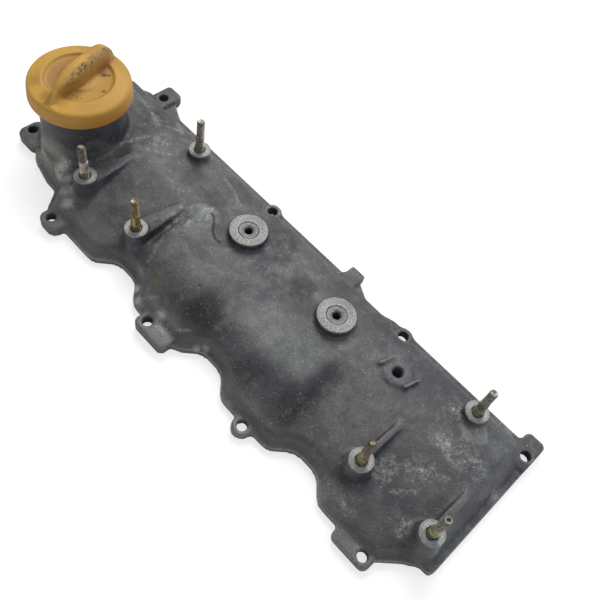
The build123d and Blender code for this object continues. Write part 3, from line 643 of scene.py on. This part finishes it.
def plated_steel():
    """Yellow zinc plating over steel: a half-bright brownish metal, dark in the thread roots and
    rubbed brighter along the shank, each stud in its own state, with painted highlight and
    reflection streaks and painted glints."""
    material, tree, shader, at = new_material("yellow zinc plated steel")
    place = add_node(tree, "SeparateXYZ", {}, {0: at})
    mottle = mottling(tree, at, 2.2, 5, 0.7)
    sheen_streaks = mottling(tree, at, 1.0, 4, 0.6, stretch=(1, 1, 0.18))
    edges = add_node(tree, "NewGeometry").outputs["Pointiness"]
    inputs = {0: mottle, 1: 4.0, 2: place.outputs[2]}
    rise = add_node(tree, "Math", {"operation": "MULTIPLY_ADD"}, inputs).outputs[0]
    colour = linear("#7c7459")
    for (x, _), tones in zip(FILLER_STUDS + PLAIN_STUDS, STUD_TONES):
        inputs = {0: place.outputs[0], 1: x, 2: TONE_REACH}
        here = add_node(tree, "Math", {"operation": "COMPARE"}, inputs).outputs[0]
        coats = [(code, here, (rise, low, low + 1.2)) for code, low in zip(tones, TONE_HEIGHTS)]
        colour = painted(tree, colour, coats)
    coats = [
        ("#34312d", (rise, 58.6, 60.4, 0, 0.55)),
        # Painted highlight and painted reflection: light and dark streaks running up the studs.
        ("#c9c0ae", (sheen_streaks, 0.54, 0.68, 0, 0.42)),
        ("#4a4232", (sheen_streaks, 0.47, 0.36, 0, 0.5)),
        ("#332c21", (mottle, 0.48, 0.38, 0, 0.75)),
        ("#241f19", (edges, 0.49, 0.42, 0, 0.85)),
        # Painted glints on the convex edges and tips.
        ("#b5ad9b", (edges, 0.52, 0.6, 0, 0.25)),
    ]
    colour = painted(tree, colour, coats)
    surface(tree, shader, colour, 0.65, (mottle, 0.3, 0.7, 0.3, 0.5), [(mottle, 0.08)])
    return material


def mesh_object(name, mesh, body, material):
    """A new object of mesh that rides on body."""
    obj = placed(name, mesh)
    clad(mesh, material)
    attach(obj, body)
    return obj


stud_metal = plated_steel()
for node, group, kinds in (
    ("filler_end_studs", FILLER_STUDS, ("point", "plain", "plain")),
    ("plain_end_studs", PLAIN_STUDS, ("point", "socket", "plain")),
):
    mesh = stud_mesh(node + "_turned", zip(group, kinds))
    studs = mesh_object(node + "_turned", mesh, "cover", stud_metal)
    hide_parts(node)

# ---- Oil filler cap -----------------------------------------------------------------------------
# One moulding of yellow glass-filled nylon: dished disc with a deep skirt, rounded grip bar and
# hollow threaded plug. Matt, with painted shade along one flank of the bar and in the recess to its
# left.

HEADING = math.radians(106.0)  # the way the grip bar points, from +X
ALONG = (math.cos(HEADING), math.sin(HEADING))
ACROSS = (math.sin(HEADING), -math.cos(HEADING))

CAP_STAINS = [
    ((-165.8, 7.3, 66.6), 2.6, "#33200f", 0.95), ((-163.6, 9.6, 66.6), 1.6, "#33200f", 0.9),
    ((-153.3, -1.9, 66.8), 1.8, "#33200f", 0.95), ((-158.6, -19.6, 66.6), 1.0, "#3d2713", 0.9),
    ((-161.4, -20.9, 66.6), 0.9, "#3d2713", 0.9), ((-156.2, -18.0, 66.6), 0.8, "#3d2713", 0.9),
    ((-172.5, 10.0, 67.0), 8.0, "#75481c", 0.65), ((-178.5, 25.0, 75.0), 7.5, "#352c26", 0.8),
    ((-168.5, -36.0, 69.0), 7.0, "#75502a", 0.5), ((-186.0, -33.0, 67.5), 6.0, "#7d5c2a", 0.4),
]

# The cap's skin is rebuilt and smoothed by zones, each a pair of heights or of millimetres along
# the bar between which it sets in or dies out.
CAP_GRAIN = 0.62
SKIRT_Z = (57.0, 61.0)
CAP_STEPS, BAR_STEPS = 18, 90
BAR_TOP_Z = (69.0, 71.0)
NEAR_END, NEAR_END_Z = (-25.0, -14.0), (66.8, 68.0)
FAR_END, FAR_END_Z = (20.0, 27.0), (67.5, 69.5)

# The bar's ends are pinched by these shares of their width.
NEAR_PINCH, NEAR_PINCH_ZONE = 0.62, (-29.0, -2.0)
FAR_PINCH, FAR_PINCH_ZONE = 0.25, (24.0, 33.0)
PINCH_SIDE, PINCH_Z = (9.5, 15.0), (65.8, 67.4)


def cap_plastic():
    """Matt moulded nylon: a soft even yellow with hardly a highlight, browner down the skirt, with
    painted shade on its sides, along one flank of the grip and in the recess beside it."""
    material, tree, shader, at = new_material("matt yellow moulded nylon")
    cloud = mottling(tree, at, 16, 5, 0.6)
    ragged = mottling(tree, at, 3.2, 6, 0.75, offset=11)
    scratch = mottling(tree, at, 1.5, 5, 0.7, offset=5)
    fine = mottling(tree, at, 0.9, 4, 0.65)
    normal = add_node(tree, "NewGeometry").outputs["Normal"]
    facing = add_node(tree, "SeparateXYZ", {}, {0: normal}).outputs[2]
    high = add_node(tree, "SeparateXYZ", {}, {0: at}).outputs[2]
    inputs = {0: at, 1: (*NECK, 0)}
    local = add_node(tree, "VectorMath", {"operation": "SUBTRACT"}, inputs).outputs[0]
    ways = [{0: local, 1: (*way, 0)} for way in (ACROSS, ALONG)]
    dots = [add_node(tree, "VectorMath", {"operation": "DOT_PRODUCT"}, way) for way in ways]
    across, along = [node.outputs["Value"] for node in dots]
    ends = add_node(tree, "Math", {"operation": "ABSOLUTE"}, {0: along}).outputs[0]
    radius = axis_distance(tree, local)

    # Browner skirt, painted shade on the sides, painted shade and a scuff on the bar's flank, a
    # darker recess, and painted shade in the recess left of the bar.
    flank_shade = level(tree, (across, 1.0, 4.0), (across, 13.0, 6.0), (ends, 36, 20))
    scuff = level(tree, (across, 0.2, 1.8), (across, 6.8, 4.6), (high, 70.5, 73.5), (along, -24, 0))
    coats = [
        ("#a68032", (cloud, 0.35, 0.66)),
        # painted shade: faces that turn away from the sky are browner
        ("#9a6a22", (facing, 0.8, 0.2, 0, 0.5)),
        ("#94581f", (high, 64.0, 56.0, 0, 0.75)),
        # painted shade along the right flank of the bar
        ("#69421c", flank_shade, (ragged, 0.3, 0.62, 0.15, 0.6)),
        ("#83601f", (along, 14, 30, 0, 0.6)),
        ("#8f6a24", (across, 14, 30, 0, 0.25)),
        ("#b8923c", (along, -16, -30, 0, 0.4)),
        ("#1c1512", scuff, (scratch, 0.45, 0.56), 0.88),
        ("#7f5a1d", (radius, 11.0, 14.0), (radius, 25.0, 22.0), (cloud, 0.3, 0.7, 0.25, 0.6)),
        # painted shade in the dish to the left of the bar
        ("#7a4f17", (across, -4.5, -8.0), (radius, 24.0, 17.0), (high, 69.0, 67.0, 0, 0.6)),
    ]
    colour = painted(tree, linear("#9b7627"), coats)
    colour = with_stains_and_shade(tree, at, colour, ragged, CAP_STAINS)
    dots = specks(tree, at, 3.2, 0.3, level(tree, (radius, 27, 17, 0.05, 0.3)))
    coats = [("#4a3018", dots, 0.7), ("#7d5f2e", (fine, 0.4, 0.65, 0, 0.18))]
    colour = painted(tree, colour, coats)
    heights = [(fine, 0.07), (cloud, 0.3)]
    surface(tree, shader, colour, 0.0, (cloud, 0.3, 0.7, 0.55, 0.7), heights)
    shader.inputs["Specular IOR Level"].default_value = 0.35
    return material


def off_neck(spots, way):
    """Distance of each spot from the neck's axis, measured along way in plan."""
    return (spots[:, 0] - NECK[0]) * way[0] + (spots[:, 1] - NECK[1]) * way[1]


cap = moulded("filler_cap", CAP_GRAIN)
outside = 1 - step_down(places(cap.data)[:, 2], *SKIRT_Z)
soften(cap, 0.1 + 0.9 * outside, CAP_STEPS)
spots = places(cap.data)
along_bar = off_neck(spots, ALONG)
near_end = step_down(along_bar, *NEAR_END) * (1 - step_down(spots[:, 2], *NEAR_END_Z))
far_end = (1 - step_down(along_bar, *FAR_END)) * (1 - step_down(spots[:, 2], *FAR_END_Z))
for zone in (1 - step_down(spots[:, 2], *BAR_TOP_Z), near_end, far_end):
    soften(cap, zone, BAR_STEPS)

spots = places(cap.data)
along_bar, across_bar = off_neck(spots, ALONG), off_neck(spots, ACROSS)
pinch = NEAR_PINCH * step_down(along_bar, *NEAR_PINCH_ZONE)
pinch += FAR_PINCH * (1 - step_down(along_bar, *FAR_PINCH_ZONE))
pinch *= step_down(np.abs(across_bar), *PINCH_SIDE) * (1 - step_down(spots[:, 2], *PINCH_Z))
for column in (0, 1):
    spots[:, column] -= pinch * across_bar * ACROSS[column]
cap.data.vertices.foreach_set("co", (spots * MM).astype(np.float32).ravel())
cap.data.update()
cap.name = "cap_moulding"
cap_material = cap_plastic()
clad(cap.data, cap_material)
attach(cap, "cap")
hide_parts("filler_cap")

THREAD_PITCH = 4.0


def thread_mesh(name, root, crest, low, high, phase):
    """A right-handed helical ridge on a wall of radius root, reaching to radius crest."""
    around, fade_steps = 96, 10
    section = [(root, -0.95), (crest, -0.4), (crest, 0.4), (root, 0.95)]
    steps = int((high - low) / THREAD_PITCH * around)
    vertices, faces = [], []
    for step in range(steps + 1):
        share = step / around
        angle = 2 * math.pi * (share + phase)
        fade = min(1.0, step / fade_steps, (steps - step) / fade_steps)
        for radius, rise in section:
            reach = (root + (radius - root) * fade) * MM
            z = (low + share * THREAD_PITCH + rise) * MM
            vertices.append((reach * math.cos(angle), reach * math.sin(angle), z))
    for step in range(steps):
        a, b = 4 * step, 4 * step + 4
        for side in range(3):
            face = (a + side, b + side, b + side + 1, a + side + 1)
            faces.append(face if crest > root else face[::-1])
    return smooth_mesh(name, vertices, faces, 40)


at_neck = Matrix.Translation((NECK[0] * MM, NECK[1] * MM, 0))
ridge = thread_mesh("cap_thread", 21.25, 22.4, 43.0, 57.0, 0.0)
plug_thread = mesh_object("cap_thread", ridge, "cap", cap_material)
plug_thread.data.transform(at_neck)

# ---- Thread inside the neck ---------------------------------------------------------------------
# Cut in the neck of the casting after it was bored: bare bright metal, like the machined seats. The
# cap's thread runs in it, one pitch a turn.

ridge = thread_mesh("neck_thread", 23.04, 21.9, 46.0, 57.5, 0.25)
neck_thread = mesh_object("neck_thread", ridge, "cover", seat_metal)
neck_thread.data.transform(at_neck)

# ---- Seals --------------------------------------------------------------------------------------
# Black nitrile rubber: a flat ring under the cap and a moulded cord pressed into the groove of the
# gasket face.


def rubber():
    """Moulded rubber: black and dull, with a dusty bloom."""
    material, tree, shader, at = new_material("black nitrile rubber")
    mottle = mottling(tree, at, 5, 5, 0.65)
    fine = mottling(tree, at, 0.6, 3, 0.6)
    colour = painted(tree, linear("#18181a"), [("#2b2a29", (mottle, 0.4, 0.7))])
    surface(tree, shader, colour, 0.0, (mottle, 0.3, 0.7, 0.45, 0.7), [(fine, 0.05)])
    return material


rubber_material = rubber()
for node in ("cap_seal", "cover_gasket"):
    clad(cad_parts[node].data, rubber_material)

# ---- Oil baffle and its screws ------------------------------------------------------------------
# Pressed from thin zinc-coated steel sheet and held to posts under the breather chamber by six
# screws. A film of old oil has stained it brown.


def oiled_sheet():
    """Rolled zinc-coated sheet: a smooth grey metal, browned in clouds by a film of old oil."""
    material, tree, shader, at = new_material("oil-stained zinc-coated sheet")
    mottle = mottling(tree, at, 18, 6, 0.65)
    fine = mottling(tree, at, 1.0, 4, 0.6)
    coats = [("#7a6540", (mottle, 0.42, 0.66)), ("#4d4334", (fine, 0.5, 0.7, 0, 0.3))]
    colour = painted(tree, linear("#8f8e88"), coats)
    surface(tree, shader, colour, 0.9, (mottle, 0.3, 0.7, 0.3, 0.5), [(fine, 0.04)])
    return material


clad(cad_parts["oil_baffle"].data, oiled_sheet())
clad(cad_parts["baffle_screws"].data, stud_metal)

# ---- Floor, camera and light --------------------------------------------------------------------
# A pale floor that keeps a soft shadow, the camera above the near side, and a broad soft key and a
# weaker fill from behind. To the camera the surround is white.

WHITE_GLOW = {"Color": (1, 1, 1, 1), "Strength": 1.0}
FLOOR_HALF = 6.0  # metres

corners = [(x * FLOOR_HALF, y * FLOOR_HALF, 0) for x, y in ((-1, -1), (1, -1), (1, 1), (-1, 1))]
floor_mesh = bpy.data.meshes.new("floor")
floor_mesh.from_pydata(corners, [], [(0, 1, 2, 3)])
floor = placed("floor", floor_mesh)
floor.location.z = -0.6 * MM
floor_material = bpy.data.materials.new("pale floor")
floor_material.use_nodes = True
tree = floor_material.node_tree
matt = tree.nodes["Principled BSDF"]
matt.inputs["Base Color"].default_value = linear("#f6f6f6")
matt.inputs["Roughness"].default_value = 0.9
matt.inputs["Specular IOR Level"].default_value = 0.1
seen = add_node(tree, "LightPath").outputs["Is Camera Ray"]
glow = add_node(tree, "Emission", {}, WHITE_GLOW).outputs[0]
inputs = {0: level(tree, seen, 0.72), 1: matt.outputs[0], 2: glow}
lifted = add_node(tree, "MixShader", {}, inputs)
tree.links.new(lifted.outputs[0], tree.nodes["Material Output"].inputs["Surface"])
clad(floor_mesh, floor_material)

camera = placed("camera", bpy.data.cameras.new("camera"))
camera.data.lens = 43.98
camera.data.sensor_width = 36
camera.data.clip_start = 0.02
# Each axis of the scene as the camera sees it: how far it runs to the right, down and away.
along_x = (0.6858736, 0.66963758, -0.28489107)
along_y = (0.71211684, -0.53696305, 0.45228342)
upwards = (0.14989, -0.51308498, -0.84514897)
turn = Matrix([(row[0], -row[1], -row[2]) for row in (along_x, along_y, upwards)])
camera.matrix_world = Matrix.Translation((0.170714, -0.205755, 0.430)) @ turn.to_4x4()
scene.camera = camera


def soft_light(name, place, size, power, colour):
    """A square area light aimed at the middle of the gasket face."""
    data = bpy.data.lights.new(name, "AREA")
    data.size = size
    data.energy = power
    data.color = linear(colour)[:3]
    lamp = placed(name, data)
    lamp.location = place
    lamp.rotation_euler = (-Vector(place)).to_track_quat("-Z", "Y").to_euler()


soft_light("key", (-0.6, 0.75, 1.25), 0.8, 27, "#fffaf4")
soft_light("fill", (0.7, 0.9, 0.9), 0.9, 9, "#eef4ff")

world = bpy.data.worlds.new("white surround")
scene.world = world
world.use_nodes = True
tree = world.node_tree
ground = tree.nodes["Background"]
ground.inputs["Color"].default_value = linear("#f4f7fa")
ground.inputs["Strength"].default_value = 0.55
backdrop = add_node(tree, "Background", {}, WHITE_GLOW).outputs[0]
seen = add_node(tree, "LightPath").outputs["Is Camera Ray"]
choice = add_node(tree, "MixShader", {}, {0: seen, 1: ground.outputs[0], 2: backdrop})
tree.links.new(choice.outputs[0], tree.nodes["World Output"].inputs["Surface"])
scene.view_settings.view_transform = "Standard"
